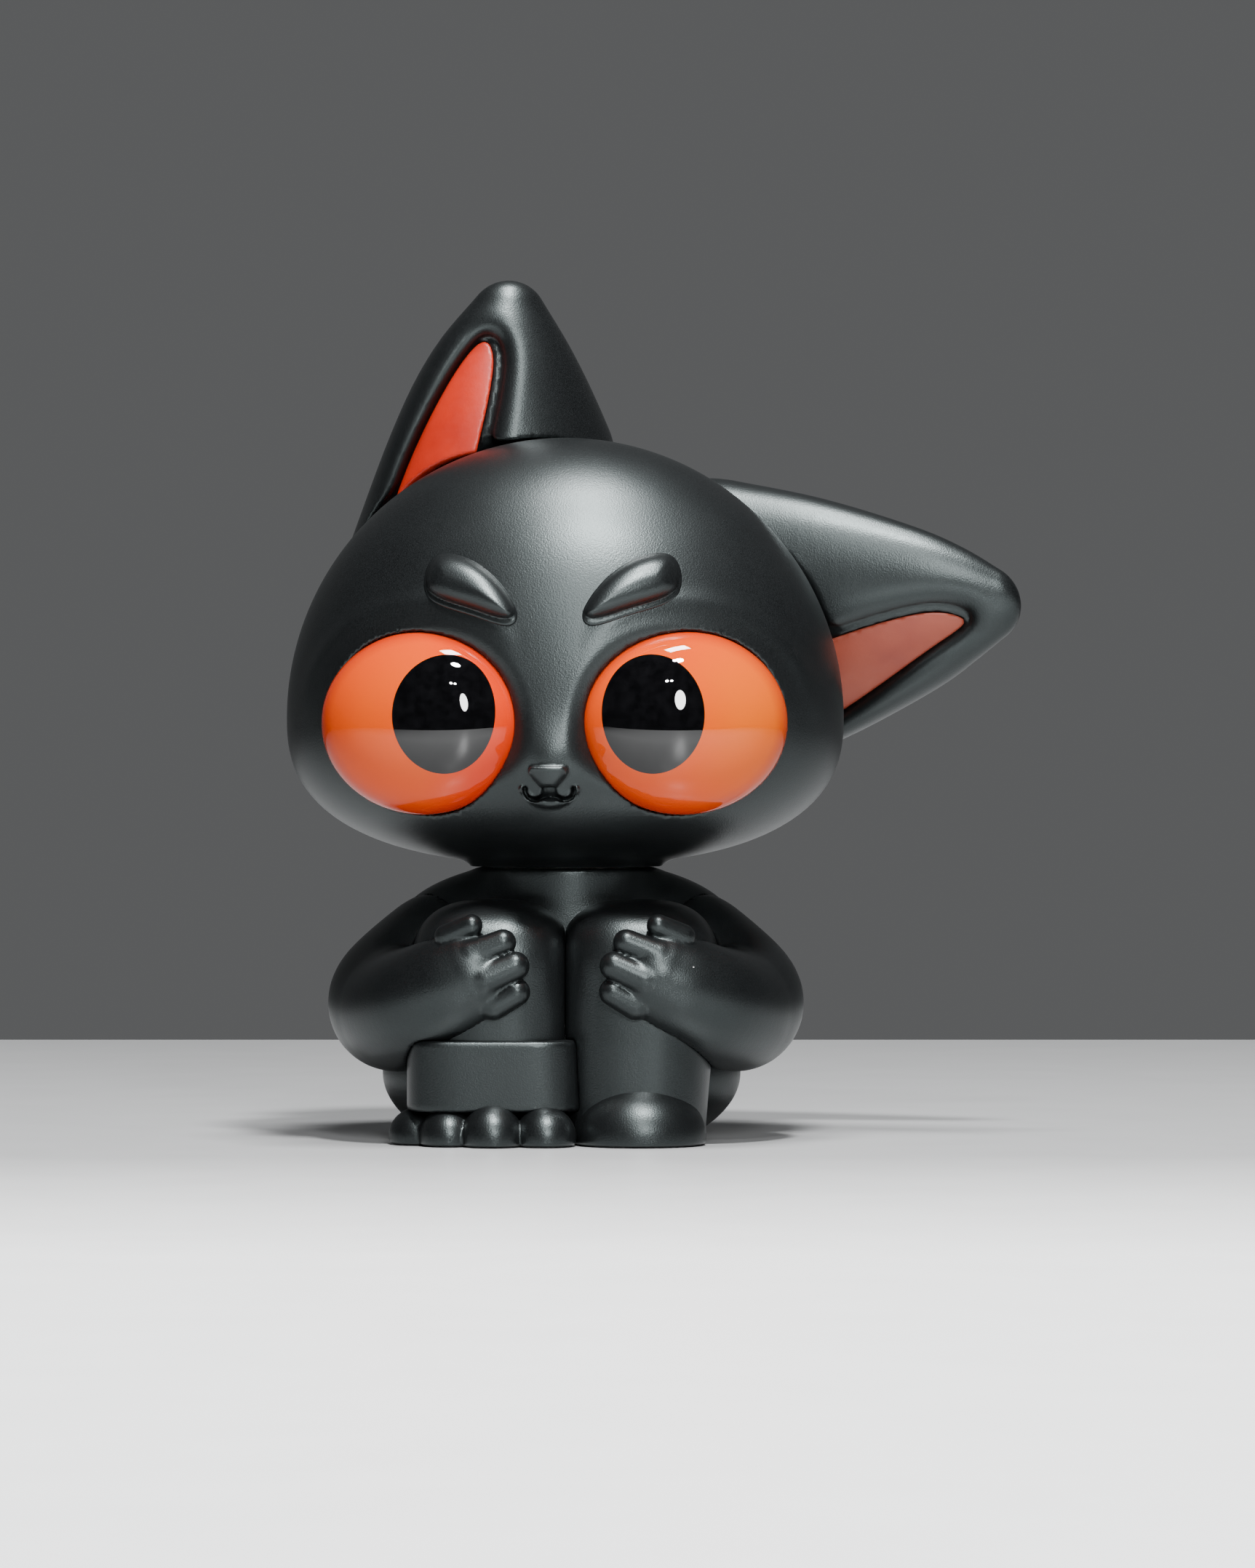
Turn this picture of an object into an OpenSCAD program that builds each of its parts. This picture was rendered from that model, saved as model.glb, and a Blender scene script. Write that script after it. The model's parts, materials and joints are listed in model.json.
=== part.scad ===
// Seated big-eyed cat, a vinyl art toy with a turning head and two turning ears.
// The figure faces -Y, +Z is up, and the origin is on the ground under the neck joint.
// Left and right are the figure's own: its right side is at -X.

/* [Head] */
// Half width of the head
head_half_w = 42.6; // [38:0.1:46]
// Half depth of the head, front to back
head_half_d = 30; // [27:0.5:34]
// Height of the head above its widest level
head_up_h = 42.8; // [39:0.1:46]
// Height of the head below its widest level
head_low_h = 22.4; // [21:0.1:24]
// Height of the head's widest level above the ground
head_mid_z = 64.1; // [63:0.1:65]
// Distance from the neck axis to the head's middle, front to back
head_mid_y = -3; // [-5:0.5:0]
// How far the face is turned to the figure's right at rest, in degrees
head_yaw = 4; // [0:1:10]
// Thickness of the vinyl walls
wall = 2.4; // [2:0.1:3]
// Plane where the front and the back shell of the head meet
head_seam_y = 4; // [0:0.5:8]

/* [Eyes] */
// Distance of each eye from the middle of the face
eye_x = 19.9; // [19:0.1:21]
// Height of the eyes above the ground
eye_z = 63.3; // [62:0.1:65]
// Half width of an eye along the face
eye_half_w = 15.6; // [14:0.1:16]
// Half height of an eye
eye_half_h = 13.8; // [12:0.1:15]
// Angle by which each eye looks outwards, in degrees
eye_splay = 12; // [8:1:16]
// Height of the glossy dome above its rim
eye_dome = 9.4; // [8:0.1:10]
// How far behind the face the rim of an eye lies
eye_sink = 4; // [3:0.1:5]
// Half width of a pupil
pupil_half_w = 7.1; // [6:0.1:8]
// Half height of a pupil
pupil_half_h = 8.8; // [8:0.1:10]
// Shift of each pupil towards the nose
pupil_in = 5.9; // [4:0.1:6.5]
// Shift of each pupil upwards
pupil_up = 1.2; // [0:0.1:2]

/* [Ears] */
// Distance of each ear joint from the middle of the head
ear_x = 13; // [12:0.5:16]
// Height of the ear joints above the ground
ear_z = 81.4; // [80:0.1:83]
// Radius of the pin that an ear turns on
ear_pin_r = 4; // [3:0.1:5]
// Radial running clearance of the pins and of the neck
run_gap = 0.06; // [0.02:0.01:0.1]

/* [Neck] */
// Radius of the neck post
neck_r = 7; // [6:0.1:8]
// Radius of the flat seat that carries the head
seat_r = 12.6; // [12:0.1:13]
// Height of that seat above the ground
seat_z = 41.3; // [41:0.1:41.5]

/* [Body] */
// Half width of the rump
rump_half_w = 28; // [26:0.5:30]
// Radius of the knees
knee_r = 11.7; // [11:0.1:12]
// Height of the middle of the knees
knee_z = 24.7; // [24:0.1:26]
// Height of the trouser cuff's top edge
cuff_top_z = 15.6; // [15:0.1:17]
// Height of the trouser cuff's lower edge
cuff_low_z = 5; // [4.5:0.1:6]

/* [Hidden] */

vinyl = [0.06, 0.06, 0.07];
orange = [0.95, 0.45, 0.13];
inlay_red = [0.88, 0.33, 0.2];
nylon = [0.85, 0.84, 0.8];
gloss_black = [0.02, 0.02, 0.02];

right = -1;
left = 1;
glue = 0.04;             // gap between two pieces that are glued together
gap = 0.35;              // gap between faces that slide past each other
shape_fn = 28;           // facets round the soft shapes

// The ear joints stand square on the head's surface, so their tilt follows from the head's shape.
ear_u = ear_x / head_half_w;
ear_v = (ear_z - head_mid_z) / head_up_h;
ear_depth = head_half_d * sqrt(1 - ear_u * ear_u - ear_v * ear_v);
ear_y = head_mid_y + ear_depth;
ear_slope_x = ear_u / head_half_w;
ear_slope_y = ear_depth / (head_half_d * head_half_d);
ear_slope_z = ear_v / head_up_h;
ear_turn = atan2(ear_slope_x, ear_slope_y);
ear_tilt = atan2(ear_slope_z, norm([ear_slope_x, ear_slope_y]));

head_low_curve = 0.8;    // how full the head is below its widest level: 1 would be an ellipse
eye_back = 4.5;          // how far an eye reaches in behind its rim
pupil_t = 1.2;           // thickness of a pupil
eye_u = eye_x / head_half_w;
eye_y = head_mid_y - head_half_d * sqrt(1 - eye_u * eye_u) + eye_sink;

socket_wall = 3;         // wall of the nylon ring that an ear pin turns in
socket_len = 4.6;        // length of that ring
clip_wall = 2.6;         // wall of the clip on an ear pin
clip_t = 2;              // thickness of that clip
pin_out = 9.9;           // how far an ear pin reaches out into its ear
pin_in = 7.5;            // how far an ear pin reaches into the head
bush_r = seat_r - 0.2;   // outer radius of the ring that turns on the neck
bush_h = 4;              // height of that ring
flange = 2.5;            // how far the neck's flange, step and cap stand out, and the cap's thickness
far = 60;                // a length that reaches past everything it cuts
leg_x = 11.8;            // distance of each leg from the middle

// ---------------------------------------------------------------- shapes

// An ellipsoid as a soft faceted shape.
module blob(at, size, fn = shape_fn) {
    hull() translate(at) scale(size) sphere(r = 1, $fn = fn);
}

// A soft limb between two balls.
module limb(a, ra, b, rb, fn = shape_fn) {
    hull() {
        translate(a) sphere(r = ra, $fn = fn);
        translate(b) sphere(r = rb, $fn = fn);
    }
}

// Rows [share of the half width, height] of the head's form, from the top down: an ellipse
// above its widest level and a fuller curve below it.
function head_rows(g, k) = concat(
    [for (i = [1 : k]) let (a = 90 - 90 * i / k) [cos(a), (head_up_h + g) * sin(a)]],
    [for (i = [1 : k - 1]) let (a = 90 * i / k)
        [pow(cos(a), head_low_curve), -(head_low_h + g) * pow(sin(a), head_low_curve)]]);

// The head's outer form, or with a negative g its inside. Each row has n points.
module head_form(g = 0, n = 44, k = 8) {
    rows = head_rows(g, k);
    m = len(rows);
    points = concat([[0, 0, head_up_h + g]],
        [for (r = rows) for (j = [0 : n - 1]) let (a = 360 * j / n)
            [(head_half_w + g) * r[0] * cos(a), (head_half_d + g) * r[0] * sin(a), r[1]]],
        [[0, 0, -head_low_h - g]]);
    faces = concat(
        [for (j = [0 : n - 1]) [0, 1 + (j + 1) % n, 1 + j]],
        [for (i = [0 : m - 2]) for (j = [0 : n - 1]) let (a = 1 + i * n, b = a + n, k = (j + 1) % n)
            [a + j, a + k, b + k, b + j]],
        [for (j = [0 : n - 1]) [1 + m * n, 1 + (m - 1) * n + j, 1 + (m - 1) * n + (j + 1) % n]]);
    translate([0, head_mid_y, head_mid_z]) hull() polyhedron(points, faces);
}

// Everything on the head is drawn with the face straight ahead, then turned to its rest place.
module head_pose() {
    rotate([0, 0, -head_yaw]) children();
}

// Local frame of an ear joint: x to +X, y up, z into the head along the pin.
module ear_frame(side) {
    head_pose()
        translate([side * ear_x, ear_y, ear_z])
        rotate([0, 0, -side * ear_turn]) rotate([90 + ear_tilt, 0, 0]) children();
}

// Local frame of an eye: x along the face, y up, z out of the face.
module eye_frame(side) {
    head_pose()
        translate([side * eye_x, eye_y, eye_z])
        rotate([0, 0, side * eye_splay]) rotate([90, 0, 0]) children();
}

module eye_dome_form(g = 0) {
    blob([0, 0, 0], [eye_half_w + g, eye_half_h + g, eye_dome + g], 40);
}

module eye_prism(half_w, half_h, low, high) {
    translate([0, 0, low])
        hull() linear_extrude(high - low) scale([half_w, half_h]) circle(r = 1, $fn = 48);
}

module pupil_prism(side, g = 0) {
    translate([-side * pupil_in, pupil_up, 0])
        eye_prism(pupil_half_w + g, pupil_half_h + g, 0, eye_dome + 1);
}

module eye_form() {
    intersection() {
        eye_dome_form();
        translate([-far, -far, -eye_back]) cube(2 * far);
    }
}

// A pocket in the front shell that holds an eye.
module eye_pocket(side) {
    eye_frame(side) eye_prism(eye_half_w + glue, eye_half_h + glue, -eye_back - glue, eye_dome + 4);
}

module pin_hole(side, r, low, high) {
    ear_frame(side) translate([0, 0, low]) cylinder(r = r, h = high - low, $fn = 64);
}

// The head's wall: outside less inside, less its holes.
module head_wall() {
    difference() {
        head_pose() head_form();
        head_pose() head_form(-wall);
        translate([0, 0, head_mid_z - head_low_h - wall])
            cylinder(r = bush_r + glue, h = 3 * wall, $fn = 64);
        for (side = [right, left]) pin_hole(side, ear_pin_r + socket_wall + glue, -2 * wall, 3 * wall);
    }
}

module half_space(front) {
    shift = front ? head_seam_y - 2 * far : head_seam_y;
    head_pose() translate([-far, shift, 0]) cube(2 * far);
}

// Balls [x, y, z, radius] that span a brow, from its low inner end to its high outer end.
brow_balls = [[6.7, -30.9, 79.7, 2.3], [11.3, -29.2, 83.2, 3.6], [15.5, -27.2, 84.6, 3.7]];

// A raised brow, glued to the face.
module brow(side) {
    color(vinyl) head_pose() difference() {
        hull() {
            for (b = brow_balls) translate([side * b[0], b[1], b[2]]) sphere(r = b[3], $fn = 20);
        }
        head_form(glue);
    }
}

// ---------------------------------------------------------------- head

module head_front() {
    color(vinyl) difference() {
        intersection() {
            head_wall();
            half_space(true);
        }
        for (side = [right, left]) eye_pocket(side);
    }
}

module brow_right() {
    brow(right);
}

module brow_left() {
    brow(left);
}

module head_back() {
    color(vinyl) intersection() {
        head_wall();
        half_space(false);
    }
}

module eye(side) {
    eye_frame(side) difference() {
        eye_form();
        difference() {
            pupil_prism(side, glue);
            eye_dome_form(-pupil_t - glue);
        }
    }
}

module pupil(side) {
    eye_frame(side) difference() {
        intersection() {
            eye_dome_form();
            pupil_prism(side);
        }
        eye_dome_form(-pupil_t);
    }
}

module eye_right() {
    color(orange) eye(right);
}

module eye_left() {
    color(orange) eye(left);
}

module pupil_right() {
    color(gloss_black) pupil(right);
}

module pupil_left() {
    color(gloss_black) pupil(left);
}

// A nylon ring in the head's floor that turns on the neck post.
module neck_bush() {
    color(nylon) translate([0, 0, seat_z + gap]) difference() {
        cylinder(r = bush_r, h = bush_h, $fn = 96);
        translate([0, 0, -1]) cylinder(r = neck_r + run_gap, h = bush_h + 2, $fn = 96);
    }
}

// A nylon ring in the back shell that an ear pin turns in.
module ear_socket(side) {
    color(nylon) ear_frame(side) difference() {
        cylinder(r = ear_pin_r + socket_wall, h = socket_len, $fn = 64);
        translate([0, 0, -1]) cylinder(r = ear_pin_r + run_gap, h = socket_len + 2, $fn = 64);
    }
}

module ear_socket_right() {
    ear_socket(right);
}

module ear_socket_left() {
    ear_socket(left);
}

// ---------------------------------------------------------------- ears

// Balls [x, y, z, radius] in the ear frame, where z = 0 is the plane that touches the head.
// The first ball of each ear is its tip, and the last covers its joint.
raised_balls = [[1.4, 46.4, -1, 5], [-11.5, 9.5, 0, 8], [-8, 22, 1, 8], [11, 17.5, 0, 8.8],
    [1, 17, 1.5, 11.5], [0, 1, -6, 7]];
turned_balls = [[52.8, 0.2, -1, 5], [9, 12, 0, 8.4], [24, 10.6, 1, 8], [10, -12, 0, 8],
    [26, -13.4, 0, 7.8], [17, 0, 1.5, 11.5], [0, 0, -6, 7]];

// How far each ear turns about its joint, in degrees, as the right-hand rule about z counts it.
raised_turns = [-4, 60];
turned_turns = [-32, 8];
ear_inlay_z = 2;         // height of the back of the coloured inlay in the ear frame
ear_inlay_t = 1.6;       // thickness of the inlay
ear_clear = 1;           // room between an ear and the head as the ear turns

module ear_form(balls, g = 0) {
    hull() {
        for (b = balls) translate([b[0], b[1], b[2]]) sphere(r = b[3] + g, $fn = shape_fn);
    }
}

// The room that the head takes up in the ear frame while that ear turns.
module head_sweep(side, turns, g) {
    steps = turns[1] > turns[0] ? 4 : 0;
    for (i = [0 : steps]) {
        turn = turns[0] + (turns[1] - turns[0]) * i / max(steps, 1);
        rotate([0, 0, -turn]) rotate([-90 - ear_tilt, 0, 0]) rotate([0, 0, side * ear_turn])
            translate([-side * ear_x, -ear_y, -ear_z]) head_form(g, 32, 6);
    }
}

// Outlines of the two coloured inlays, in the ear frame.
raised_inlay = [[0.4, 41], [-3, 37], [-8, 29], [-13.6, 15.5], [-7, 19.5], [-1, 26], [1.6, 35]];
turned_inlay = [[47.6, -2.4], [42, -1.4], [29, -4], [27, -9], [29, -15.6], [34, -12.6], [42, -7.4]];

module inlay_form(outline, low, high, g = 0) {
    translate([0, 0, low]) linear_extrude(high - low)
        offset(r = 0.8 + g, $fn = 24) offset(delta = -0.8) polygon(outline);
}

// An ear is hollow above its root, and has a recess for its inlay and a hole for its pin.
// A narrow vent joins the hollow to the pin's hole, as a cast ear needs.
module ear_shell(side, balls, outline, turns) {
    tip = balls[0];
    vent_angle = atan2(tip[1], tip[0]);
    color(vinyl) ear_frame(side) difference() {
        ear_form(balls);
        head_sweep(side, turns, ear_clear);
        inlay_form(outline, ear_inlay_z - glue, far, glue);
        translate([0, 0, -pin_out - glue]) cylinder(r = ear_pin_r + glue, h = pin_out + 2, $fn = 64);
        translate([0, 0, -5]) rotate([0, 0, vent_angle]) rotate([0, 90, 0])
            cylinder(r = 1.2, h = 18, $fn = 16);
        intersection() {
            ear_form([for (i = [0 : len(balls) - 2]) balls[i]], -wall);
            difference() {
                translate([-far, -far, ear_inlay_z - wall - far]) cube([2 * far, 2 * far, far]);
                head_sweep(side, [0, 0], ear_clear + wall);
                cylinder(r = ear_pin_r + wall, h = far, center = true);
            }
        }
    }
}

module ear_inlay(side, outline) {
    color(inlay_red) ear_frame(side) inlay_form(outline, ear_inlay_z, ear_inlay_z + ear_inlay_t);
}

// The pin is glued into the ear, runs in the socket and carries the clip inside the head.
module ear_pin(side) {
    color(nylon) ear_frame(side) translate([0, 0, -pin_out])
        cylinder(r = ear_pin_r, h = pin_out + pin_in, $fn = 64);
}

module ear_clip(side) {
    color(nylon) ear_frame(side) translate([0, 0, socket_len + gap]) difference() {
        cylinder(r = ear_pin_r + clip_wall, h = clip_t, $fn = 64);
        translate([0, 0, -1]) cylinder(r = ear_pin_r, h = clip_t + 2, $fn = 64);
    }
}

module ear_right() {
    ear_shell(right, raised_balls, raised_inlay, raised_turns);
}

module ear_inlay_right() {
    ear_inlay(right, raised_inlay);
}

module ear_pin_right() {
    ear_pin(right);
}

module ear_clip_right() {
    ear_clip(right);
}

module ear_left() {
    ear_shell(left, turned_balls, turned_inlay, turned_turns);
}

module ear_inlay_left() {
    ear_inlay(left, turned_inlay);
}

module ear_pin_left() {
    ear_pin(left);
}

module ear_clip_left() {
    ear_clip(left);
}

// ---------------------------------------------------------------- body

module above_ground() {
    intersection() {
        children();
        translate([-far, -far, 0]) cube(2 * far);
    }
}

module torso_form(g = 0) {
    hull() {
        translate([0, 6, 13.5]) scale([rump_half_w + g, 19 + g, 13 + g]) sphere(r = 1, $fn = 36);
        translate([0, 3, 24.4]) scale([26 + g, 16 + g, 15 + g]) sphere(r = 1, $fn = 36);
        translate([0, 6, -g]) linear_extrude(1) scale([20 + g, 15 + g]) circle(r = 1, $fn = 36);
        translate([0, 0, seat_z - 3]) cylinder(r = seat_r + g, h = 3 + g, $fn = 36);
    }
}

module leg_form(side, g = 0) {
    hull() {
        translate([side * leg_x, -15.4, knee_z]) sphere(r = knee_r + g, $fn = shape_fn);
        translate([side * leg_x, -14.5, 10]) sphere(r = 10.2 + g, $fn = shape_fn);
        translate([side * 11, -4, 13]) sphere(r = 11 + g, $fn = shape_fn);
        translate([side * leg_x, -14.5, -g]) cylinder(r = 8.6 + g, h = 1, $fn = shape_fn);
    }
}

module cuff_form(g = 0) {
    hull() {
        for (c = [[-17.4, -18, 7], [-17.4, -10, 7], [-5.2, -18.6, 7], [-5.2, -8, 5]]) {
            translate([c[0], c[1], cuff_low_z - g])
                cylinder(r = c[2] + g, h = cuff_top_z - cuff_low_z + 2 * g, $fn = shape_fn);
        }
    }
}

module paw_form() {
    middle = -11.5;
    toes = [[-22.2, -19, 4.2], [-17.6, -24.2, 4.3], [-11, -27, 4.6], [-2.8, -26.6, 4.5]];
    for (t = toes) limb([t[0], t[1], 1.6], t[2], [middle + (t[0] - middle) * 0.6, -12, 2.2], 3.8, 20);
}

module foot_form(g = 0) {
    hull() {
        blob([leg_x - 0.2, -19.5, 1.6], [9.9 + g, 11 + g, 6.5 + g]);
        blob([leg_x - 0.2, -10, 1.6], [9.4 + g, 9 + g, 6.1 + g]);
    }
}

// An arm runs from the shoulder round the knee, and its hand has a thumb and three fingers.
module arm_form(side, g = 0) {
    shoulder = [side * 17, 2, 28.2];
    elbow = [side * 26.4, -6.5, 21.2];
    wrist = [side * 17.4, -20.4, 23];
    palm = [side * 13.4, -23.4, 25];
    limb(shoulder, 9.4 + g, elbow, 9.8 + g);
    limb(elbow, 9.8 + g, wrist, 8.4 + g);
    limb(wrist, 8.4 + g, palm, 7.4 + g);
    fingers = [
        [[-18, -26.2, 31], 2.3, [-14.8, -26.2, 33.2], 2.1],
        [[-13.6, -28, 28.8], 2.4, [-10.4, -28, 30.9], 2.2],
        [[-12.4, -29, 24.9], 2.6, [-8.8, -29, 27.4], 2.4],
        [[-11.8, -28.6, 20.6], 2.8, [-8.8, -28.4, 23], 2.5],
    ];
    for (f = fingers) {
        a = [-side * f[0][0], f[0][1], f[0][2]];
        b = [-side * f[2][0], f[2][1], f[2][2]];
        limb(a, f[1] + g, b, f[3] + g, 16);
    }
}

// A hollow vinyl trunk with a flat base, open where the legs plug in.
module torso() {
    color(vinyl) above_ground() difference() {
        torso_form();
        torso_form(-wall);
        for (side = [right, left]) leg_form(side, glue);
        translate([0, 0, seat_z - 10]) cylinder(r = neck_r + glue, h = 20, $fn = 64);
    }
}

// The post is glued into the trunk's top wall and carries the head.
module neck_post() {
    root = 3;
    low = seat_z - wall - root;
    color(nylon) {
        translate([0, 0, low]) cylinder(r = neck_r + flange, h = root - glue, $fn = 96);
        translate([0, 0, low]) cylinder(r = neck_r, h = root + wall + 2 * gap + bush_h, $fn = 96);
        translate([0, 0, seat_z]) cylinder(r = neck_r - flange, h = 2 * gap + bush_h + flange, $fn = 96);
    }
}

// A cap on the post that holds the head down.
module neck_cap() {
    color(nylon) translate([0, 0, seat_z + bush_h + 2 * gap]) difference() {
        cylinder(r = neck_r + flange, h = flange, $fn = 96);
        translate([0, 0, -1]) cylinder(r = neck_r - flange, h = flange + 2, $fn = 96);
    }
}

module leg_right() {
    color(vinyl) above_ground() difference() {
        leg_form(right);
        translate([0, -far, -1]) cube(2 * far);
        translate([-far, -far, cuff_low_z - 2 * far]) cube(2 * far);
    }
}

module leg_left() {
    color(vinyl) above_ground() difference() {
        leg_form(left);
        translate([-2 * far, -far, -1]) cube(2 * far);
        cuff_form(glue);
        foot_form(glue);
    }
}

module trouser_cuff() {
    color(vinyl) difference() {
        cuff_form();
        leg_form(right, glue);
        torso_form(glue);
    }
}

module toed_paw() {
    color(vinyl) above_ground() difference() {
        union() {
            paw_form();
            blob([-11.4, -14, 1.6], [11, 11, 3.8]);
        }
        translate([-far, -far, cuff_low_z - glue]) cube(2 * far);
        torso_form(glue);
        foot_form(glue);
    }
}

module smooth_foot() {
    color(vinyl) above_ground() difference() {
        foot_form();
        cuff_form(glue);
        torso_form(glue);
    }
}

module arm(side) {
    color(vinyl) difference() {
        arm_form(side);
        for (s = [right, left]) leg_form(s, glue);
        torso_form(glue);
        cuff_form(glue);
    }
}

module arm_right() {
    arm(right);
}

module arm_left() {
    arm(left);
}

// A short tail that lies against the back.
module tail() {
    route = [[0, 22, 4.5], [5, 26.4, 5], [9, 27.6, 9], [8, 26.6, 14], [3.4, 26.4, 17], [-0.6, 26, 15]];
    color(vinyl) above_ground() difference() {
        for (i = [0 : len(route) - 2]) limb(route[i], 4 - 0.2 * i, route[i + 1], 3.8 - 0.2 * i, 16);
        torso_form(glue);
    }
}

head_front();
head_back();
neck_bush();
eye_right();
eye_left();
pupil_right();
pupil_left();
brow_right();
brow_left();
ear_socket_right();
ear_socket_left();
ear_right();
ear_inlay_right();
ear_pin_right();
ear_clip_right();
ear_left();
ear_inlay_left();
ear_pin_left();
ear_clip_left();
torso();
neck_post();
neck_cap();
leg_right();
leg_left();
trouser_cuff();
toed_paw();
smooth_foot();
arm_right();
arm_left();
tail();
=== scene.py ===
import json
import math

import bpy
import numpy as np
from mathutils import Matrix, Vector


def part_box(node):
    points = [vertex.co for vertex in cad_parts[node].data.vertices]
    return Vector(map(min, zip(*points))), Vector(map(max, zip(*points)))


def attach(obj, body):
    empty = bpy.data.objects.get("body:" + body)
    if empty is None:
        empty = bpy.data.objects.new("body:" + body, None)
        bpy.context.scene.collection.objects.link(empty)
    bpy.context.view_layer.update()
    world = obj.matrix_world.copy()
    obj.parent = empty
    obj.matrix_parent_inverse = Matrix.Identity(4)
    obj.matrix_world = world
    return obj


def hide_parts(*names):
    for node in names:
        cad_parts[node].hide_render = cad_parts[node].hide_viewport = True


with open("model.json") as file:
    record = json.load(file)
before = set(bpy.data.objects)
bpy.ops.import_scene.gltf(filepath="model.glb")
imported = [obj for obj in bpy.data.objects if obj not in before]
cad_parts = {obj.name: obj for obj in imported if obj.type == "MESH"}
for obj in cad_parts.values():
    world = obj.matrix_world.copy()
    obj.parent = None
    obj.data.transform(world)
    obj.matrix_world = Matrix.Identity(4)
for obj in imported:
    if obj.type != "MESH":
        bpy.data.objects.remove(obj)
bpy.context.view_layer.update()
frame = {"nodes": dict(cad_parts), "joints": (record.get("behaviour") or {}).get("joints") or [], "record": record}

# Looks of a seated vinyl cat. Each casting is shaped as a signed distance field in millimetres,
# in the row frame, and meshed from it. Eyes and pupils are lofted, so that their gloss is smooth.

MM = 0.001
JOINTS = {j["name"]: j for j in frame["joints"]}

# ------------------------------------------------------------------ sizes, in millimetres

HEAD_HALF = (42.6, 30.0)                 # half width and half depth of the head
HEAD_UP, HEAD_LOW = 42.8, 22.4           # its height above and below its widest level
HEAD_LOW_POWER = 2.5                     # how full it is below that level: 2 would be an ellipse
HEAD_Y = -3.0                            # its middle, front to back
HEAD_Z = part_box("head_front")[1].z / MM - HEAD_UP
HEAD_YAW = math.radians(-4.0)            # the face looks a little to the figure's right
SEAM_Y = 4.0                             # plane where the front and the back shell meet
WALL = 2.4

EYE_AT = (19.4, -25.5, HEAD_Z - 0.95)    # middle of the left eye's rim, face straight ahead
EYE_HALF = (15.8, 13.75)                 # half width and half height of its rim
EYE_DOME = 9.4                           # how far an eye stands out of its rim
EYE_SPLAY = math.radians(12.0)           # how far each eye looks outwards
EYE_BACK = 4.6                           # how far an eye reaches in behind its rim
PUPIL_AT = (-5.5, 1.2)                   # a pupil's middle, outwards and up from its eye's middle
PUPIL_HALF = (7.4, 8.85)

LEG_X = 11.0                             # from the figure's middle to a leg's middle
KNEE_Z = 24.7                            # where a leg's column ends and its domed knee begins
CUFF_AT = (-10.8, -14.4)                 # middle of the trouser cuff
CUFF_LOW, CUFF_TOP = 5.0, 15.7
PAW_X = -11.4                            # middle of the paw with toes
SEAT_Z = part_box("torso")[1].z / MM       # top of the trunk, which the head turns on
EAR_BACK = 0.5                           # an ear's thickness behind its plane, against its width
SOCKET_R = 7.1                           # hole in the back shell for an ear's socket
EAR_FOOT = 12.4                          # how far an ear reaches from its pin, away from its tip
EAR_CLEAR = 0.35                         # room between an ear and the head as the ear turns
INLAY_DEEP = 2.2                         # how far an inlay lies below the ear's surface
INLAY_THICK = 1.3
PIN_HOLE = 4.05                          # radius of the hole in an ear for its pin
ARM_RELIEF = 0.25                        # how much thinner an arm is where it lies along the trunk


# ------------------------------------------------------------------ distance fields

def length(v):
    return np.sqrt(np.einsum("ij,ij->i", v, v))


def smin(a, b, k):
    """The nearer of two fields, blended over a width k."""
    h = np.clip(0.5 + 0.5 * (b - a) / k, 0, 1)
    return b + (a - b) * h - k * h * (1 - h)


def smax(a, b, k):
    return -smin(-a, -b, k)


def ball(p, at, r):
    return length(p - np.array(at, float)) - r


def ellipsoid(p, at, half):
    rel = p - np.array(at, float)
    half = np.array(half, float)
    outer = length(rel / half)
    return outer * (outer - 1) / np.maximum(length(rel / half ** 2), 1e-4)


def limb(p, a, ra, b, rb):
    """A round cone from a ball at a to a ball at b."""
    a, b = np.array(a, float), np.array(b, float)
    span = np.linalg.norm(b - a)
    unit = (b - a) / span
    slope = (ra - rb) / span
    rel = p - a
    along = rel @ unit
    across = length(rel - along[:, None] * unit)
    foot = np.clip(along - across * slope / math.sqrt(1 - slope * slope), 0, span)
    return np.hypot(along - foot, across) - (ra - slope * foot)


def chain(p, balls, k):
    """Limbs through a row of (place, radius) balls, blended over a width k."""
    found = None
    for (a, ra), (b, rb) in zip(balls, balls[1:]):
        d = limb(p, a, ra, b, rb)
        found = d if found is None else smin(found, d, k)
    return found


def spine(keys, per_span=5):
    """Balls along a smooth curve through key balls, each one a row of x, y, z and radius."""
    keys = np.array(keys, float)
    ends = np.concatenate([[2 * keys[0] - keys[1]], keys, [2 * keys[-1] - keys[-2]]])
    rows = []
    for a, b, c, d in zip(ends, ends[1:], ends[2:], ends[3:]):
        for t in np.arange(per_span) / per_span:
            bend = 2 * a - 5 * b + 4 * c - d + t * (3 * b - a - 3 * c + d)
            rows.append(b + t * (c - a + t * bend) / 2)
    return np.array(rows + [keys[-1]])


def tube(p, balls):
    """The round body that the balls sweep."""
    found = np.full(len(p), np.inf)
    for a, b in zip(balls, balls[1:]):
        found = np.minimum(found, limb(p, a[:3], a[3], b[:3], b[3]))
    return found


def bullet(p, at, half, top, power, top_power):
    """An upright column with a boxy round section and a domed top, of half sizes half."""
    x, y, z = (p - np.array(at, float)).T
    across = ((np.abs(x) / half[0]) ** power + (np.abs(y) / half[1]) ** power) ** (1 / power)
    rise = np.maximum(z, 0) / top
    return ((across ** top_power + rise ** top_power) ** (1 / top_power) - 1) * min(half)


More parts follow.
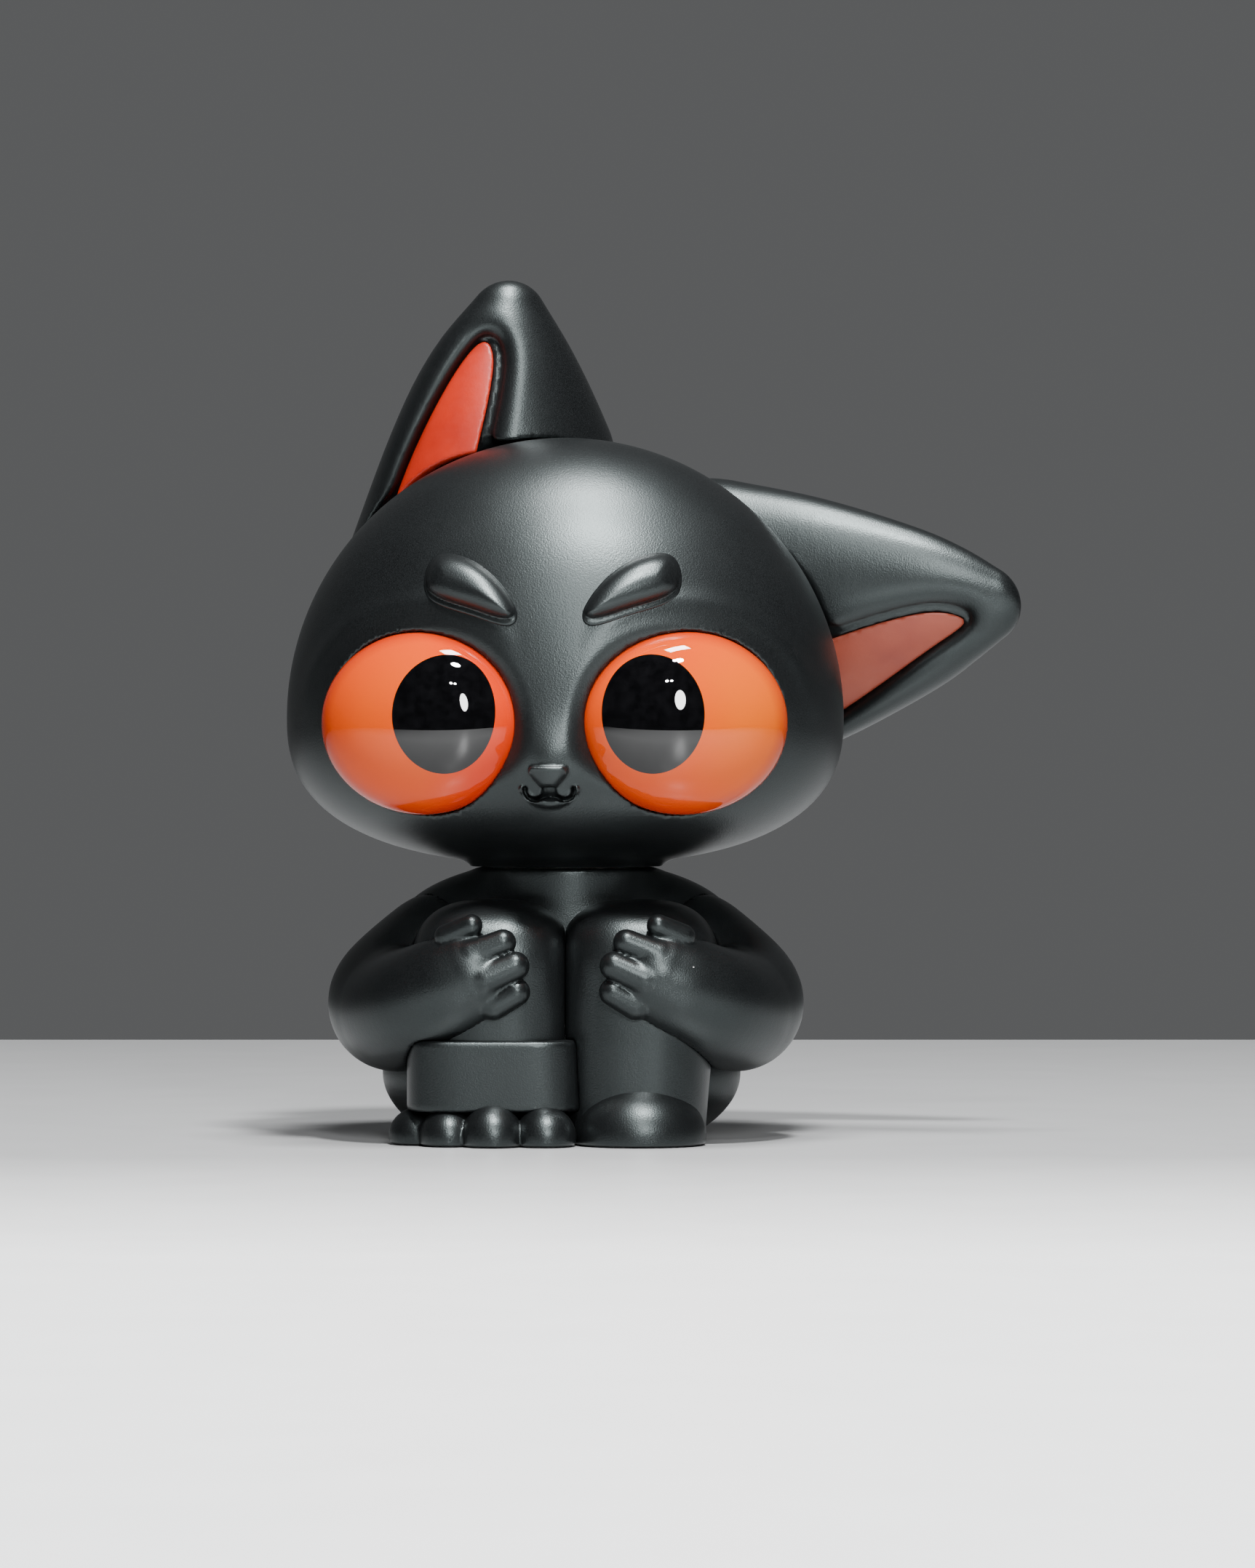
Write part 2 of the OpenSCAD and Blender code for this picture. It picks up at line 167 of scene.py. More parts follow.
def outline_distance(x, z, points):
    """Signed distance to a closed outline in a plane, negative inside."""
    nearest = np.full(x.shape, np.inf)
    inside = np.zeros(x.shape, bool)
    for (x0, z0), (x1, z1) in zip(points, points[1:] + points[:1]):
        ex, ez = x1 - x0, z1 - z0
        t = np.clip(((x - x0) * ex + (z - z0) * ez) / (ex * ex + ez * ez), 0, 1)
        nearest = np.minimum(nearest, np.hypot(x - x0 - t * ex, z - z0 - t * ez))
        crosses = (z0 > z) != (z1 > z)
        inside ^= crosses & (x < x0 + (z - z0) * ex / (ez if ez else 1e-9))
    return np.where(inside, -nearest, nearest)


def rounded(points, rounds=3):
    """The outline with its corners cut again and again until it is smooth."""
    for _ in range(rounds):
        pairs = list(zip(points, points[1:] + points[:1]))
        points = [tuple(a[i] * (1 - s) + b[i] * s for i in (0, 1)) for a, b in pairs for s in (0.25, 0.75)]
    return points


def turned(p, angle, axis=(0, 0, 1), at=(0, 0, 0)):
    """Points turned by an angle about an axis through a point."""
    rotation = np.array(Matrix.Rotation(angle, 3, Vector(axis)))
    at = np.array(at, float)
    return (p - at) @ rotation.T + at


# ------------------------------------------------------------------ meshing

BLOCK = 8


def grid_lines(low, high, step, fine=None):
    """Grid lines from low to high, closer together in the stretch fine = (start, end, step)."""
    if fine is None:
        lines = np.arange(low, high + step, step)
    else:
        start, end, small = fine
        lines = np.concatenate([np.arange(low, start - step / 2, step), np.arange(start, end, small),
                                np.arange(end, high + step, step)])
    extra = -len(lines) % BLOCK
    return np.concatenate([lines, lines[-1] + step * np.arange(1, extra + 1)])


def grid_values(field, axes):
    """The field at every grid point. A block of points far from the surface keeps one value."""
    groups = [a.reshape(-1, BLOCK) for a in axes]
    counts = [len(g) for g in groups]
    mids = np.meshgrid(*[g.mean(axis=1) for g in groups], indexing="ij")
    coarse = field(np.stack(mids, -1).reshape(-1, 3))
    half = 0.5 * math.sqrt(3) * max(np.ptp(g, axis=1).max() for g in groups)
    values = np.repeat(coarse[:, None], BLOCK ** 3, axis=1)
    near = np.nonzero(np.abs(coarse) < 1.5 * half + 0.5)[0]
    for some in np.array_split(near, max(1, len(near) // 300)):
        spots = [g[i] for g, i in zip(groups, np.unravel_index(some, counts))]
        p = np.empty((len(some), BLOCK, BLOCK, BLOCK, 3))
        p[..., 0] = spots[0][:, :, None, None]
        p[..., 1] = spots[1][:, None, :, None]
        p[..., 2] = spots[2][:, None, None, :]
        values[some] = field(p.reshape(-1, 3)).reshape(len(some), -1)
    values = values.reshape(*counts, BLOCK, BLOCK, BLOCK).transpose(0, 3, 1, 4, 2, 5)
    return values.reshape([len(a) for a in axes])


def surface_net(values, axes):
    """Places and four-sided faces of the surface where the values change sign."""
    inside = values < 0
    nx, ny, nz = values.shape
    corners = sum(inside[i:nx - 1 + i, j:ny - 1 + j, k:nz - 1 + k].astype(np.int8)
                  for i in (0, 1) for j in (0, 1) for k in (0, 1))
    cells = np.argwhere((corners > 0) & (corners < 8))
    index = np.full(corners.shape, -1, np.int64)
    index[tuple(cells.T)] = np.arange(len(cells))
    places, hits = np.zeros((len(cells), 3)), np.zeros(len(cells))
    for axis in range(3):
        for i in (0, 1):
            for j in (0, 1):
                low = cells.copy()
                low[:, (axis + 1) % 3] += i
                low[:, (axis + 2) % 3] += j
                high = low.copy()
                high[:, axis] += 1
                va, vb = values[tuple(low.T)], values[tuple(high.T)]
                cross = (va < 0) != (vb < 0)
                share = np.where(cross, va / np.where(cross, va - vb, 1), 0)
                spot = np.stack([a[low[:, n]] for n, a in enumerate(axes)], -1)
                spot[:, axis] += share * (axes[axis][high[:, axis]] - axes[axis][low[:, axis]])
                places += spot * cross[:, None]
                hits += cross
    places /= hits[:, None]
    faces = []
    for axis in range(3):
        one, two = (axis + 1) % 3, (axis + 2) % 3
        lower = np.moveaxis(inside, axis, 0)[:-1]
        upper = np.moveaxis(inside, axis, 0)[1:]
        edges = np.argwhere(np.moveaxis(lower != upper, 0, axis))
        edges = edges[(edges[:, one] > 0) & (edges[:, two] > 0)]
        edges = edges[(edges[:, one] < values.shape[one] - 1) & (edges[:, two] < values.shape[two] - 1)]
        quad = []
        for di, dj in ((0, 0), (-1, 0), (-1, -1), (0, -1)):
            cell = edges.copy()
            cell[:, one] += di
            cell[:, two] += dj
            quad.append(index[tuple(cell.T)])
        quad = np.stack(quad, -1)
        outward = inside[tuple(edges.T)]
        faces.append(np.where(outward[:, None], quad, quad[:, ::-1]))
    return places, np.concatenate(faces)


def settle(field, places, reach, rounds=2):
    """Moves the places onto the surface, by at most reach each time."""
    small = 0.02
    for _ in range(rounds):
        value = field(places)
        slope = np.stack([(field(places + small * np.eye(3)[i]) - value) / small for i in range(3)], -1)
        move = value[:, None] * slope / np.maximum((slope ** 2).sum(1), 0.2)[:, None]
        size = np.maximum(length(move), 1e-9)
        places = places - move * np.minimum(1, reach / size)[:, None]
    return places


def add_mesh(name, places, faces):
    """A mesh object from places in millimetres in the row frame and four-sided faces."""
    mesh = bpy.data.meshes.new(name)
    mesh.vertices.add(len(places))
    mesh.vertices.foreach_set("co", (places * MM).astype(np.float32).ravel())
    mesh.loops.add(faces.size)
    mesh.loops.foreach_set("vertex_index", faces.astype(np.int32).ravel())
    mesh.polygons.add(len(faces))
    mesh.polygons.foreach_set("loop_start", np.arange(0, faces.size, 4, dtype=np.int32))
    mesh.update(calc_edges=True)
    mesh.validate()
    mesh.shade_smooth()
    piece = bpy.data.objects.new(name, mesh)
    bpy.context.scene.collection.objects.link(piece)
    return piece


def cast(name, field, low, high, step, fine=(None, None, None), yaw=0.0):
    """A casting meshed from its field in the box low to high, then turned by yaw about Z."""
    axes = [grid_lines(low[i] - step, high[i] + step, step, fine[i]) for i in range(3)]
    places, faces = surface_net(grid_values(field, axes), axes)
    places = settle(field, places, step / 2)
    return add_mesh(name, turned(places, yaw), faces)


# ------------------------------------------------------------------ head, drawn with the face straight ahead

def head_form(p):
    """Distance to the head's plain outer form."""
    a, b = HEAD_HALF
    x, y, z = p[:, 0], p[:, 1] - HEAD_Y, p[:, 2] - HEAD_Z
    up = z > 0
    c = np.where(up, HEAD_UP, HEAD_LOW)
    power = np.where(up, 2.0, HEAD_LOW_POWER)
    rho = np.maximum(np.sqrt((x / a) ** 2 + (y / b) ** 2), 1e-6)
    zeta = np.maximum(np.abs(z) / c, 1e-6)
    f = (rho ** power + zeta ** power) ** (1 / power)
    flat = np.sqrt((x / a ** 2) ** 2 + (y / b ** 2) ** 2) / rho * (rho / f) ** (power - 1)
    tall = (zeta / f) ** (power - 1) / c
    return (f - 1) / np.hypot(flat, tall)


def eye_local(p):
    """Points in an eye's own frame: outwards along the face, up, out of the face."""
    x = np.abs(p[:, 0]) - EYE_AT[0]
    y = p[:, 1] - EYE_AT[1]
    cos, sin = math.cos(EYE_SPLAY), math.sin(EYE_SPLAY)
    return np.stack([x * cos + y * sin, p[:, 2] - EYE_AT[2], x * sin - y * cos], -1)


# A brow's outline on the face, with heights above the head's widest level
BROW = rounded([(19.4, 19.9), (19.1, 22.3), (17.9, 24.1), (15.9, 24.5), (13.5, 24.0), (11.1, 22.9),
                (8.7, 21.1), (6.9, 19.1), (5.6, 17.2), (4.7, 15.3), (5.0, 13.8), (6.3, 13.2), (8.6, 13.7),
                (11.6, 14.8), (14.6, 15.7), (17.2, 16.6), (18.9, 17.9)], 2)
BROW_HIGH = 2.9
BROW_STEP = 0.9                          # the ledge along a brow's lower edge


def brow_outline(p):
    """Distance across the face to a brow's outline. Far from the brow it is only roughly right."""
    x, z = np.abs(p[:, 0]), p[:, 2] - HEAD_Z
    found = np.maximum(np.abs(x - 12) - 8, np.abs(z - 19) - 6.5)
    near = found < 2
    found[near] = outline_distance(x[near], z[near], BROW)
    return found


def brow_form(p, skin):
    """A brow's pillow over a low ledge that shows along its lower edge."""
    across = brow_outline(p)
    lifted = brow_outline(p - np.array([0, 0, BROW_STEP]))
    pillow = smax(smax(lifted, across, 0.4), skin - BROW_HIGH, 4.0)
    return np.minimum(pillow, smax(across, skin - 0.55, 0.6))


def arc_distance(x, z, mid_x, mid_z, r, top):
    """Distance in the plane to the part of a circle below the level top."""
    dx, dz = x - mid_x, z - mid_z
    round_part = np.abs(np.hypot(dx, dz) - r)
    end_x = math.sqrt(max(r * r - (top - mid_z) ** 2, 0))
    end = np.hypot(np.abs(dx) - end_x, z - top)
    return np.where(z < top, round_part, end)


def muzzle(p, d, skin):
    """Adds the nose, the mouth's groove and the lower lip to the head's field d."""
    x, z = p[:, 0], p[:, 2] - HEAD_Z
    nose = outline_distance(x, z, [(-2.1, -8.3), (2.1, -8.3), (0.5, -10.1), (-0.5, -10.1)]) - 0.8
    d = smin(d, smax(nose, skin - 2.1 - 0.4 * (z + 9.0), 0.9), 0.35)
    lip = arc_distance(x, z, 0, -8.55, 4.6, -10.9)
    d = smin(d, np.hypot(lip, skin - 0.1) - 0.55, 0.35)
    smile = arc_distance(np.abs(x), z, 2.15, -10.9, 1.5, -10.8)
    drop = outline_distance(x, z, [(-0.3, -10.5), (0.3, -10.5), (0.8, -12.1), (-0.8, -12.1)])
    groove = smin(smile - 0.36, drop - 0.1, 0.2)
    return smax(d, -smax(groove, -(skin + 1.3), 0.3), 0.3)


def snout(p):
    """How far the face swells out round the nose and the mouth."""
    z = p[:, 2] - HEAD_Z + 8.0
    return 1.8 * np.exp(-(p[:, 0] / 5.8) ** 2 - (z / np.where(z > 0, 6.0, 9.0)) ** 2)


def face_form(p):
    """The head's outside with its eye sockets, brow seats, nose and mouth."""
    skin = head_form(p)
    q = eye_local(p)
    rim = (np.sqrt((q[:, 0] / EYE_HALF[0]) ** 2 + (q[:, 1] / EYE_HALF[1]) ** 2) - 1) * EYE_HALF[1]
    aside = np.clip((np.abs(p[:, 0]) - 4) / 7, 0, 1)
    above = np.clip(q[:, 1] / 9, 0, 1)
    lid = 0.35 * np.exp(-((rim - 4.4) / 1.5) ** 2) * above * aside * aside * (3 - 2 * aside)
    base = skin - snout(p)
    d = smax(base - lid, -ellipsoid(q, (0, 0, 8.0), (EYE_HALF[0] + 2.2, EYE_HALF[1] + 2.2, 9.0)), 1.8)
    d = muzzle(p, d, base)
    seat = smax(brow_outline(p) + 1.0, -(skin + 1.3), 0.1)
    d = smax(d, -seat, 0.2)
    socket = smax(ellipsoid(q, (0, 0, 0), (EYE_HALF[0] + 0.12, EYE_HALF[1] + 0.12, EYE_DOME + 0.12)),
                  -(q[:, 2] + EYE_BACK + 0.1), 0.1)
    return smax(d, -socket, 0.25)


def head_shell(p, front):
    inner = head_form(p) + WALL
    outer = face_form(p) if front else head_form(p)
    shell = smax(outer, -inner, 0.5)
    cut = p[:, 1] - SEAM_Y if front else SEAM_Y - p[:, 1]
    shell = smax(shell, cut + 0.03, 0.35)
    round_neck = np.hypot(p[:, 0], p[:, 1])
    collar = smax(np.abs(round_neck - 13.0) - 0.6, np.abs(p[:, 2] - SEAT_Z - 1.9) - 1.5, 0.2)
    shell = smin(shell, smax(collar, cut + 0.03, 0.2), 4.0)
    shell = smax(shell, SEAT_Z + 0.1 - p[:, 2], 0.2)
    shell = smax(shell, -smax(round_neck - 12.43, p[:, 2] - HEAD_Z, 0.2), 0.1)
    return shell if front else smax(shell, -socket_holes(turned(p, HEAD_YAW)), 0.3)


def socket_holes(p):
    """Round holes in the back shell for the rings that the ear pins turn in."""
    found = np.full(len(p), 99.0)
    for name in ("right_ear_turn", "left_ear_turn"):
        at = np.array(JOINTS[name]["pos_m"]) / MM
        axis = np.array(JOINTS[name]["axis"])
        along = (p - at) @ axis
        across = length(p - at - along[:, None] * axis)
        found = np.minimum(found, np.maximum(across - SOCKET_R, np.abs(along) - 9))
    return found


def brow_piece(p):
    skin = head_form(p)
    return smax(brow_form(p, skin), -(skin + 1.25), 0.1)


# ------------------------------------------------------------------ eyes

def eye_world(side, local):
    """Places in an eye's own frame, taken to the row frame."""
    u, v, w = local.T
    cos, sin = math.cos(EYE_SPLAY), math.sin(EYE_SPLAY)
    x = EYE_AT[0] + u * cos + w * sin
    y = EYE_AT[1] + u * sin - w * cos
    return turned(np.stack([side * x, y, EYE_AT[2] + v], -1), HEAD_YAW)


def dome_height(u, v):
    """How far the eye's surface stands out of its rim, at a place outwards u and up v."""
    inside = 1 - (u / EYE_HALF[0]) ** 2 - (v / EYE_HALF[1]) ** 2
    return EYE_DOME * np.sqrt(np.maximum(inside, 0))


def loft(name, side, first, rings, last):
    """A closed surface through rings of equal length, from one pole to the other."""
    count = len(rings[0])
    places = np.concatenate([[first], *rings, [last]])
    faces = []
    for r in range(len(rings) - 1):
        a, b = 1 + r * count, 1 + (r + 1) * count
        faces += [(a + j, a + (j + 1) % count, b + (j + 1) % count, b + j) for j in range(count)]
    end = len(places) - 1
    base = end - count
    faces += [(0, 1 + (j + 1) % count, 1 + j) for j in range(count)]
    faces += [(base + j, base + (j + 1) % count, end) for j in range(count)]
    if side > 0:
        faces = [f[::-1] for f in faces]
    mesh = bpy.data.meshes.new(name)
    mesh.from_pydata((eye_world(side, places) * MM).tolist(), [], faces)
    mesh.validate()
    mesh.shade_smooth()
    mesh.set_sharp_from_angle(angle=math.radians(40))
    piece = bpy.data.objects.new(name, mesh)
    bpy.context.scene.collection.objects.link(piece)
    return piece


def ring(mid, half, count, height):
    """An ellipse of points. height is a number or a function of the place."""
    t = np.linspace(0, 2 * math.pi, count, endpoint=False)
    u, v = mid[0] + half[0] * np.cos(t), mid[1] + half[1] * np.sin(t)
    w = height(u, v) if callable(height) else np.full(count, height)
    return np.stack([u, v, w], -1)


def eye_piece(name, side):
    """A dome with a shallow pocket for its pupil."""
    count, deep = 128, 1.2

    def floor(u, v):
        return dome_height(u, v) - deep

    pole = np.array([*PUPIL_AT, floor(np.array(PUPIL_AT[0]), np.array(PUPIL_AT[1]))])
    rings = [ring(PUPIL_AT, [h * s for h in PUPIL_HALF], count, floor) for s in np.linspace(0.1, 1, 8)]
    for t in np.linspace(0, 1, 40):
        share = 1 - (1 - t) ** 2.2
        mid = [c * (1 - share) for c in PUPIL_AT]
        half = [p * (1 - share) + e * share for p, e in zip(PUPIL_HALF, EYE_HALF)]
        rings.append(ring(mid, half, count, dome_height))
    for back in np.linspace(0.4, EYE_BACK, 8):
        shrink = math.sqrt(1 - (back / EYE_DOME) ** 2)
        rings.append(ring((0, 0), [h * shrink for h in EYE_HALF], count, -back))
    for s in np.linspace(0.8, 0.1, 6):
        rings.append(ring((0, 0), [h * s * shrink for h in EYE_HALF], count, -EYE_BACK))
    return loft(name, side, pole, rings, np.array([0, 0, -EYE_BACK]))


def pupil_piece(name, side):
    """A disc that follows the dome, flush with it."""
    count, thick, proud = 128, 1.15, 0.012

    def top(u, v):
        return dome_height(u, v) + proud

    def low(u, v):
        return dome_height(u, v) - thick

    mid_u, mid_v = np.array(PUPIL_AT[0]), np.array(PUPIL_AT[1])
    rings = [ring(PUPIL_AT, [h * s for h in PUPIL_HALF], count, top) for s in np.linspace(0.06, 1, 22)]
    rings += [ring(PUPIL_AT, [h * s for h in PUPIL_HALF], count, low) for s in np.linspace(1, 0.1, 6)]
    return loft(name, side, np.array([*PUPIL_AT, top(mid_u, mid_v)]), rings,
                np.array([*PUPIL_AT, low(mid_u, mid_v)]))


# ------------------------------------------------------------------ ears, drawn in the row frame

# cone: balls along the ear's middle, from its tip: x, z, how far the ball lies in front of the plane
#     square to the pin, and the radius before the whole cone is scaled by CONE_SCALE.
# front: how thick the ear is in front of that plane, against its width.
# patch: the inlay's outline, seen from the front, as x and z.
# side: the way in which a flat cut faces that keeps the two ears apart, and a point on the cut.
# foot: the way from the pin to the ear's root, away from the tip.
# roll: how far the rounded edge of the recess is shifted against the inlay.
CONE_SCALE = 0.8

EARS = {
    "right": {
        "joint": "right_ear_turn",
        "cone": [(-9.2, 126.0, 0.0, 6.1), (-10.4, 115.0, 1.8, 12.8), (-10.9, 103.1, 3.8, 18.3),
                 (-11.2, 82.9, 7.0, 26.0)],
        "front": 0.8,
        "patch": [(-12.6, 123.0), (-16.0, 119.6), (-20.4, 112.2), (-24.6, 103.4), (-27.4, 95.6),
                  (-26.0, 90.0), (-16.0, 96.0), (-13.6, 106.0), (-12.0, 113.0), (-11.0, 120.0)],
        "side": ((0.939, -0.342), (9.0, 107.0)),
        "foot": (0.0, -1.0),
        "roll": (0.6, 0.0),
    },
    "left": {
        "joint": "left_ear_turn",
        "cone": [(63.8, 81.8, 0.0, 6.4), (57.0, 81.5, 0.0, 10.5), (49.6, 80.8, 0.0, 14.4),
                 (36.0, 79.6, 0.0, 20.0), (23.2, 78.3, 0.0, 24.2)],
        "front": 0.5,
        "patch": [(61.6, 79.2), (59.6, 80.2), (56.0, 80.6), (50.0, 79.4), (40.6, 76.4), (32.0, 73.0),
                  (32.0, 60.0), (41.0, 64.2), (48.6, 69.4), (55.6, 74.6), (60.4, 77.8)],
        "side": ((-0.939, 0.342), (14.6, 104.2)),
        "foot": (-0.94, -0.34),
        "roll": (0.0, 0.5),
    },
}


def ear_frame(ear):
    """The place of the ear's pin and the way that the pin points, which is forward."""
    joint = JOINTS[ear["joint"]]
    return np.array(joint["pos_m"]) / MM, np.array(joint["axis"])


def ear_cone(p, ear):
    """A cone with a round tip, thinner along its pin than across it, with its front swung out."""
    at, axis = ear_frame(ear)
    out = (p - at) @ axis
    q = p + (out * (1 / np.where(out > 0, ear["front"], EAR_BACK) - 1))[:, None] * axis
    balls = []
    for x, z, lift, r in ear["cone"]:
        y = at[1] - (axis[0] * (x - at[0]) + axis[2] * (z - at[2])) / axis[1]
        balls.append((*(np.array([x, y, z]) + lift * axis), r))
    return tube(q, spine(balls, 6)) * CONE_SCALE


def head_room(p, ear):
    """The room that the head takes up while the ear turns, as seen from the ear."""
    at, axis = ear_frame(ear)
    low, high = np.radians(JOINTS[ear["joint"]]["range_deg"])
    found = None
    for turn in np.linspace(low, high, 7):
        d = head_form(turned(turned(p, turn, axis, at), -HEAD_YAW))
        found = d if found is None else np.minimum(found, d)
    return found


def ear_form(p, ear):
    """The ear's outside, kept clear of the head and of the other ear."""
    at, axis = ear_frame(ear)
    d = ear_cone(p, ear)
    (nx, nz), (x0, z0) = ear["side"]
    beyond = nx * (p[:, 0] - x0) + nz * (p[:, 2] - z0)
    hub = np.hypot(p[:, 0] - at[0], p[:, 2] - at[2]) - 9.0
    d = smax(d, smin(beyond, hub, 3.0), 3.0)
    along = (p - at) @ axis
    from_pin = length(p - at - along[:, None] * axis)
    foot = (p[:, 0] - at[0]) * ear["foot"][0] + (p[:, 2] - at[2]) * ear["foot"][1]
    d = smax(d, smin(from_pin - EAR_FOOT, foot, 8.0), 4.0)
    d = smin(d, limb(p, at - 4.4 * axis, 6.4, at - 5.6 * axis, 6.4), 4.0)
    d = smax(d, EAR_CLEAR - head_room(p, ear), 0.3)
    return smax(d, -np.maximum(from_pin - SOCKET_R - 0.3, -0.2 - along), 0.1)


def ear_pit(p, ear, grow, deep, shift=(0, 0)):
    """A recess on the ear's front with the patch's outline, grown, down to a depth."""
    at, axis = ear_frame(ear)
    across = outline_distance(p[:, 0] - shift[0], p[:, 2] - shift[1], ear["smooth_patch"]) - grow
    return np.maximum(np.maximum(across, -(ear_cone(p, ear) + deep)), 1.0 - (p - at) @ axis)


def ear_shell(p, ear):
    """The ear with its recess, the seat of the inlay and the pin's hole."""
    at, axis = ear_frame(ear)
    d = ear_form(p, ear)
    d = smax(d, -ear_pit(p, ear, 0.5, INLAY_DEEP, ear["roll"]), 4.6)
    d = smax(d, -ear_pit(p, ear, 0.05, INLAY_DEEP + INLAY_THICK), 0.2)
    along = (p - at) @ axis
    hole = np.maximum(length(p - at - along[:, None] * axis) - PIN_HOLE, np.abs(along) - 10.0)
    return smax(d, -hole, 0.2)


def ear_inlay(p, ear):
    """A sheet that follows the ear's front, let into the recess."""
    d = np.maximum(ear_cone(p, ear) + INLAY_DEEP, -(ear_cone(p, ear) + INLAY_DEEP + INLAY_THICK - 0.05))
    at, axis = ear_frame(ear)
    across = outline_distance(p[:, 0], p[:, 2], ear["smooth_patch"])
    d = np.maximum(d, 1.1 - (p - at) @ axis)
    return smax(smax(d, across, 0.2), EAR_CLEAR - head_room(p, ear), 0.2)


# ------------------------------------------------------------------ body, drawn in the row frame

def torso_form(p):
    d = ellipsoid(p, (-0.8, 6, 9.5), (27.6, 19, 14))
    d = smin(d, ellipsoid(p, (0, 3, 26), (21, 14.5, 14)), 7)
    d = smin(d, ellipsoid(p, (0, 2, 31.9), (26, 12.5, 10.7)), 2)
    neck = smax(np.hypot(p[:, 0], p[:, 1]) - 12.6, 30 - p[:, 2], 1)
    return smax(smin(d, neck, 3), p[:, 2] - SEAT_Z, 0.6)


def torso_piece(p):
    d = smax(torso_form(p), 0.02 - p[:, 2], 0.6)
    post = np.maximum(np.hypot(p[:, 0], p[:, 1]) - 7.05, SEAT_Z - 12 - p[:, 2])
    return smax(d, -post, 0.2)


def leg_form(p, side):
    """A column with a domed knee, whose outer side leans in towards the ground."""
    q = p * np.array([side, 1, 1])
    low = 1 - np.clip(p[:, 2] / KNEE_Z, 0, 1)
    outer = q[:, 0] > LEG_X
    q[:, 0] = LEG_X + (q[:, 0] - LEG_X) * np.where(outer, 1 + 0.23 * low, 1)
    d = bullet(q, (LEG_X, -14.5, KNEE_Z), (12.3, 12.3), 11.9, 2.6, 2.8)
    return smax(d, 0.06 - side * p[:, 0], 0.5)


def leg_piece(p, side):
    d = leg_form(p, side)
    if side < 0:
        return smax(d, CUFF_LOW - p[:, 2], 0.5)
    return smax(smax(d, 1.2 - p[:, 2], 0.5), 0.05 - cuff_form(p), 0.2)


def cuff_form(p):
    q = p - np.array([*CUFF_AT, 0])
    q[:, 0] -= np.where(q[:, 0] > 0, 0.07 * (CUFF_TOP - p[:, 2]), 0)
    d = bullet(q, (0, 0, 99), (13.0, 13.5), 1, 4.4, 2)
    return smax(d, np.abs(p[:, 2] - (CUFF_TOP + CUFF_LOW) / 2) - (CUFF_TOP - CUFF_LOW) / 2, 0.8)


def foot_form(p):
    d = ellipsoid(p, (11.2, -22.0, 1.2), (10.0, 9.6, 8.0))
    d = smin(d, ellipsoid(p, (11.2, -10, 1.4), (9.4, 9, 6.4)), 3)
    d = smax(d, 0.05 - cuff_form(p), 0.2)
    return smax(d, 0.02 - p[:, 2], 0.7)


# Each toe's place, half width and height, from the outermost
TOES = [((-22.0, -20.0), 4.4, 5.3), ((-17.4, -24.4), 4.3, 5.6), ((-10.8, -26.8), 4.7, 6.2),
        ((-2.9, -26.2), 4.6, 5.9)]


def paw_form(p):
    d = ellipsoid(p, (PAW_X, -14, 1.4), (11.4, 11.4, 4.6))
    for (x, y), wide, high in TOES:
        toe = ellipsoid(p, (x, y, 1.2), (wide, 5.0, high - 1.2))
        stem = limb(p, (x, y, 1.4), 3.6, (PAW_X + (x - PAW_X) * 0.6, -12, 2.0), 3.4)
        d = np.minimum(d, smin(toe, stem, 1.5))
    return smax(d, 0.02 - p[:, 2], 0.7)


# Key balls along the right arm from the shoulder to the hand, and its thumb and fingers as round cones
ARM = [(-12.5, 3.5, 29.0, 11.0), (-15.9, 2.0, 28.0, 11.6), (-25.2, -5.6, 21.7, 10.5),
       (-25.2, -12.0, 20.0, 9.5), (-22.0, -18.6, 20.9, 8.8), (-17.8, -21.6, 22.9, 8.3),
       (-14.0, -23.0, 25.0, 7.6)]
FINGERS = [((-17.6, -25.4, 31.2), 1.9, (-13.9, -26.8, 32.9), 1.7),
           ((-13.8, -27.6, 28.6), 2.1, (-9.2, -27.8, 30.4), 2.0),
           ((-11.8, -28.6, 24.9), 2.3, (-7.4, -28.4, 26.9), 2.2),
           ((-10.6, -27.2, 21.1), 2.3, (-7.2, -27.8, 23.0), 2.1)]


def arm_form(p, side):
    q = p * np.array([-side, 1, 1])
    d = tube(q, spine(ARM, 9))
    fingers = [limb(q, a, ra, b, rb) for a, ra, b, rb in FINGERS]
    return smin(d, np.minimum.reduce(fingers), 0.5)


def arm_piece(p, side):
    """The arm with the shapes of its neighbours cut out of it."""
    d = arm_form(p, side) + ARM_RELIEF * np.exp(-(torso_form(p) / 0.6) ** 2)
    for other in (leg_form(p, -1), leg_form(p, 1), torso_form(p), cuff_form(p)):
        d = smax(d, 0.06 - other, 0.3)
    return d


def tail_piece(p):
    route = [(0, 22, 4.5), (5, 26.4, 5), (9, 27.6, 9), (8, 26.6, 14), (3.4, 26.4, 17), (-0.6, 26, 15)]
    d = chain(p, [(at, 4.0 - 0.2 * i) for i, at in enumerate(route)], 2.5)
    d = smax(d, 0.06 - torso_form(p), 0.4)
    return smax(d, 0.02 - p[:, 2], 0.5)


# ------------------------------------------------------------------ materials

def new_material(name, colour, rough):
    material = bpy.data.materials.new(name)
    material.use_nodes = True
    shader = material.node_tree.nodes["Principled BSDF"]
    shader.inputs["Base Color"].default_value = (*colour, 1)
    shader.inputs["Roughness"].default_value = rough
    return material, material.node_tree.nodes, material.node_tree.links, shader


